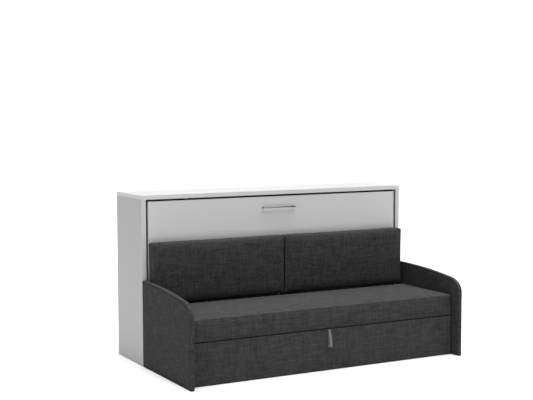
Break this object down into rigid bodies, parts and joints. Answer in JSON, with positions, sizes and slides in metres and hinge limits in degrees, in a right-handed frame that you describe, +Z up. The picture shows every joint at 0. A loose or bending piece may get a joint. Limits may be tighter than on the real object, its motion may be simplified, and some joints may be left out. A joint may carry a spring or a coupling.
{
  "type": "wall bed with sofa",
  "caption": "Low horizontal wall bed in a laminate cabinet with a fixed upholstered sofa in front and a bedding drawer on castors under the seat.",
  "frame": {"origin": "middle of the footprint, on the floor", "axes": "+X along the cabinet's length, -Y from the wall towards the sitter, +Z up"},
  "size_m": [2.122, 1.244, 1.175],
  "materials": {
    "laminate": "light grey-white melamine board, satin",
    "hardboard": "thin white-faced hardboard, matt",
    "fabric": "anthracite woven upholstery with slubs, matt",
    "ticking": "off-white knitted mattress ticking, matt",
    "birch": "steamed birch, clear lacquer",
    "raw_wood": "unfinished softwood and board",
    "dark_board": "dark stained board, matt",
    "aluminium": "mill-finish profile, satin",
    "zinc_steel": "zinc-plated steel, satin",
    "satin_metal": "satin nickel handle",
    "black_paint": "black painted steel tube, semi-gloss",
    "chrome_steel": "hard-chromed rod, polished",
    "webbing": "grey woven webbing, matt",
    "black_plastic": "black moulded plastic, matt",
    "grey_rubber": "grey rubber tread, matt"
  },
  "bodies": {
    "cabinet_and_sofa": {"side_panel_left": "laminate", "side_panel_right": "laminate", "top_panel": "laminate", "bottom_panel": "laminate", "plinth_panel": "laminate", "wall_rail": "laminate", "back_panel": "hardboard", "armrest_left": "fabric", "armrest_right": "fabric", "seat_cushion": "fabric", "deck_cleat_left": "raw_wood", "deck_cleat_right": "raw_wood", "rear_board": "raw_wood", "seat_deck": "dark_board", "front_deck_rail": "dark_board", "wall_bracket_left": "zinc_steel", "wall_bracket_right": "zinc_steel", "pivot_bracket_left": "zinc_steel", "pivot_bracket_right": "zinc_steel", "strut_bracket_left": "zinc_steel", "strut_bracket_right": "zinc_steel", "open_stop_left": "zinc_steel", "open_stop_right": "zinc_steel", "closed_stop_left": "black_plastic", "closed_stop_right": "black_plastic"},
    "bed": {"front_panel": "laminate", "handle_bar": "satin_metal", "handle_post_left": "satin_metal", "handle_post_right": "satin_metal", "bed_frame": "aluminium", "slat_roll": "birch", "mattress": "ticking", "mattress_strap_left": "webbing", "mattress_strap_right": "webbing", "bed_fitting_left": "zinc_steel", "bed_fitting_right": "zinc_steel", "pivot_pin_left": "zinc_steel", "pivot_pin_right": "zinc_steel", "backrest_board": "raw_wood", "back_cushion_left": "fabric", "back_cushion_right": "fabric"},
    "drawer": {"drawer_front": "fabric", "drawer_side_left": "laminate", "drawer_side_right": "laminate", "drawer_back": "laminate", "drawer_bottom": "hardboard", "pull_tab": "webbing", "castor_housing_front_left": "black_plastic", "castor_housing_rear_left": "black_plastic", "castor_housing_front_right": "black_plastic", "castor_housing_rear_right": "black_plastic"},
    "strut_cylinder_left": {"strut_cylinder_left": "black_paint"},
    "strut_rod_left": {"strut_rod_left": "chrome_steel"},
    "strut_cylinder_right": {"strut_cylinder_right": "black_paint"},
    "strut_rod_right": {"strut_rod_right": "chrome_steel"},
    "castor_wheel_front_left": {"castor_wheel_front_left": "grey_rubber"},
    "castor_wheel_rear_left": {"castor_wheel_rear_left": "grey_rubber"},
    "castor_wheel_front_right": {"castor_wheel_front_right": "grey_rubber"},
    "castor_wheel_rear_right": {"castor_wheel_rear_right": "grey_rubber"}
  },
  "joints": [
    {"name": "bed_fold", "type": "hinge", "parent": "cabinet_and_sofa", "child": "bed", "pos_m": [0, 0.194, 0.59], "axis": [1, 0, 0], "range_deg": [0, 90]},
    {"name": "drawer_slide", "type": "slide", "parent": "cabinet_and_sofa", "child": "drawer", "axis": [0, -1, 0], "range_m": [0, 0.45]},
    {"name": "strut_swing_left", "type": "hinge", "parent": "cabinet_and_sofa", "child": "strut_cylinder_left", "pos_m": [-1.015, 0.318, 0.9], "axis": [1, 0, 0], "range_deg": [0, 16.72]},
    {"name": "rod_slide_left", "type": "slide", "parent": "strut_cylinder_left", "child": "strut_rod_left", "axis": [0, 0.2354, 0.9719], "range_m": [0, 0.16758]},
    {"name": "strut_swing_right", "type": "hinge", "parent": "cabinet_and_sofa", "child": "strut_cylinder_right", "pos_m": [1.015, 0.318, 0.9], "axis": [1, 0, 0], "range_deg": [0, 16.72]},
    {"name": "rod_slide_right", "type": "slide", "parent": "strut_cylinder_right", "child": "strut_rod_right", "axis": [0, 0.2354, 0.9719], "range_m": [0, 0.16758]},
    {"name": "wheel_spin_front_left", "type": "hinge", "parent": "drawer", "child": "castor_wheel_front_left", "pos_m": [-0.859, -0.4437, 0.0205], "axis": [1, 0, 0], "continuous": true},
    {"name": "wheel_spin_rear_left", "type": "hinge", "parent": "drawer", "child": "castor_wheel_rear_left", "pos_m": [-0.859, -0.0637, 0.0205], "axis": [1, 0, 0], "continuous": true},
    {"name": "wheel_spin_front_right", "type": "hinge", "parent": "drawer", "child": "castor_wheel_front_right", "pos_m": [0.859, -0.4437, 0.0205], "axis": [1, 0, 0], "continuous": true},
    {"name": "wheel_spin_rear_right", "type": "hinge", "parent": "drawer", "child": "castor_wheel_rear_right", "pos_m": [0.859, -0.0637, 0.0205], "axis": [1, 0, 0], "continuous": true}
  ],
  "couplings": [
    {"joint": "strut_swing_left", "follows": "bed_fold", "ratio": 0.18579},
    {"joint": "rod_slide_left", "follows": "bed_fold", "m_per_rad": 0.10668},
    {"joint": "strut_swing_right", "follows": "bed_fold", "ratio": 0.18579},
    {"joint": "rod_slide_right", "follows": "bed_fold", "m_per_rad": 0.10668},
    {"joint": "wheel_spin_front_left", "follows": "drawer_slide", "rad_per_m": 50},
    {"joint": "wheel_spin_rear_left", "follows": "drawer_slide", "rad_per_m": 50},
    {"joint": "wheel_spin_front_right", "follows": "drawer_slide", "rad_per_m": 50},
    {"joint": "wheel_spin_rear_right", "follows": "drawer_slide", "rad_per_m": 50}
  ]
}
